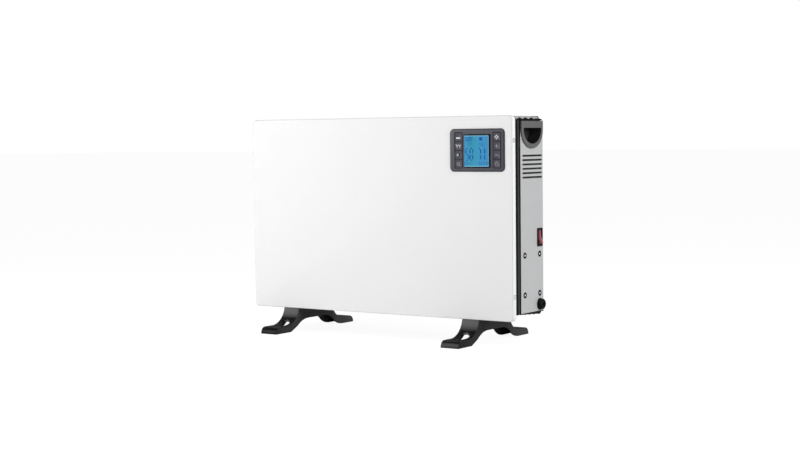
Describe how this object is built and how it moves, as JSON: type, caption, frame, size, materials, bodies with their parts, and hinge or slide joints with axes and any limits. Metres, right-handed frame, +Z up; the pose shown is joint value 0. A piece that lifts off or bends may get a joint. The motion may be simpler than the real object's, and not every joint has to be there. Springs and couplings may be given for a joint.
{
  "type": "panel convector heater",
  "caption": "Flat-panel electric convector heater with a digital control panel, side handles, mains rocker, top and bottom air grilles, on two arched feet.",
  "frame": {"origin": "on the floor, midway between the two feet and midway along them", "axes": "+X to the right of someone who faces the front panel, +Y from the front panel to the back, +Z up"},
  "size_m": [0.6049, 0.254, 0.418],
  "materials": {
    "white_panel": "satin",
    "steel": "plain",
    "dark_frame": "satin",
    "bright_sheet": "mill",
    "grey_shell": "satin",
    "black_plastic": "fine grain",
    "zinc_steel": "zinc",
    "circuit_board": "solder mask",
    "component_black": "moulded",
    "component_yellow": "moulded",
    "terminal_plastic": "moulded",
    "silver_grille": "satin",
    "handle_plastic": "fine grain",
    "bezel_plastic": "satin",
    "clear_lens": "clear",
    "lcd_display": "backlit",
    "key_plastic": "fine grain",
    "red_rocker": "gloss",
    "brass": "plain",
    "aluminium_fins": "extruded",
    "ceramic": "fired",
    "foot_plastic": "fine grain"
  },
  "bodies": {
    "heater_body": {"front_panel": "white_panel", "panel_screws": "steel", "chassis_frame": "dark_frame", "heat_shield": "bright_sheet", "side_panel_right": "grey_shell", "side_panel_left": "grey_shell", "screw_washers": "black_plastic", "side_screws": "steel", "side_bracket_right": "zinc_steel", "side_bracket_left": "zinc_steel", "power_board": "circuit_board", "power_relay": "component_black", "filter_capacitor": "component_yellow", "terminal_block": "terminal_plastic", "top_frame": "black_plastic", "top_grille": "silver_grille", "bottom_grille": "black_plastic", "base_plate": "zinc_steel", "rear_cover": "grey_shell", "rear_screws": "steel", "handle_right": "handle_plastic", "handle_left": "handle_plastic", "control_bezel": "bezel_plastic", "lcd_lens": "clear_lens", "lcd_module": "lcd_display", "key_switches": "component_black", "control_board": "circuit_board", "control_box": "black_plastic", "rocker_housing": "black_plastic", "rocker_terminals": "brass", "cable_gland": "black_plastic", "heating_element": "aluminium_fins", "element_insulators": "ceramic", "element_terminals": "brass", "element_support_right": "zinc_steel", "element_support_left": "zinc_steel", "cutout_bracket": "zinc_steel", "thermal_cutout": "component_black", "tilt_case": "component_black", "tilt_pin": "steel", "foot_right": "foot_plastic", "foot_left": "foot_plastic", "foot_screws": "steel"},
    "key_display_body": {"key_display": "key_plastic"},
    "key_swing_body": {"key_swing": "key_plastic"},
    "key_night_body": {"key_night": "key_plastic"},
    "key_settings_body": {"key_settings": "key_plastic"},
    "key_mode_body": {"key_mode": "key_plastic"},
    "key_plus_body": {"key_plus": "key_plastic"},
    "key_minus_body": {"key_minus": "key_plastic"},
    "key_power_body": {"key_power": "key_plastic"},
    "rocker_paddle_body": {"rocker_paddle": "red_rocker"},
    "tilt_pendulum_body": {"tilt_pendulum": "steel"}
  },
  "joints": [
    {"name": "key_display_press", "type": "slide", "parent": "heater_body", "child": "key_display_body", "axis": [0, 1, 0], "range_m": [0, 0.0006], "stiffness_N_per_m": 800, "springref_m": -0.001},
    {"name": "key_swing_press", "type": "slide", "parent": "heater_body", "child": "key_swing_body", "axis": [0, 1, 0], "range_m": [0, 0.0006], "stiffness_N_per_m": 800, "springref_m": -0.001},
    {"name": "key_night_press", "type": "slide", "parent": "heater_body", "child": "key_night_body", "axis": [0, 1, 0], "range_m": [0, 0.0006], "stiffness_N_per_m": 800, "springref_m": -0.001},
    {"name": "key_settings_press", "type": "slide", "parent": "heater_body", "child": "key_settings_body", "axis": [0, 1, 0], "range_m": [0, 0.0006], "stiffness_N_per_m": 800, "springref_m": -0.001},
    {"name": "key_mode_press", "type": "slide", "parent": "heater_body", "child": "key_mode_body", "axis": [0, 1, 0], "range_m": [0, 0.0006], "stiffness_N_per_m": 800, "springref_m": -0.001},
    {"name": "key_plus_press", "type": "slide", "parent": "heater_body", "child": "key_plus_body", "axis": [0, 1, 0], "range_m": [0, 0.0006], "stiffness_N_per_m": 800, "springref_m": -0.001},
    {"name": "key_minus_press", "type": "slide", "parent": "heater_body", "child": "key_minus_body", "axis": [0, 1, 0], "range_m": [0, 0.0006], "stiffness_N_per_m": 800, "springref_m": -0.001},
    {"name": "key_power_press", "type": "slide", "parent": "heater_body", "child": "key_power_body", "axis": [0, 1, 0], "range_m": [0, 0.0006], "stiffness_N_per_m": 800, "springref_m": -0.001},
    {"name": "rocker_turn", "type": "hinge", "parent": "heater_body", "child": "rocker_paddle_body", "pos_m": [0.2925, 0.0525, 0.193], "axis": [0, 1, 0], "range_deg": [0, 26]},
    {"name": "tilt_swing", "type": "hinge", "parent": "heater_body", "child": "tilt_pendulum_body", "pos_m": [-0.2818, 0.025, 0.1385], "axis": [1, 0, 0], "range_deg": [-20, 20]}
  ]
}
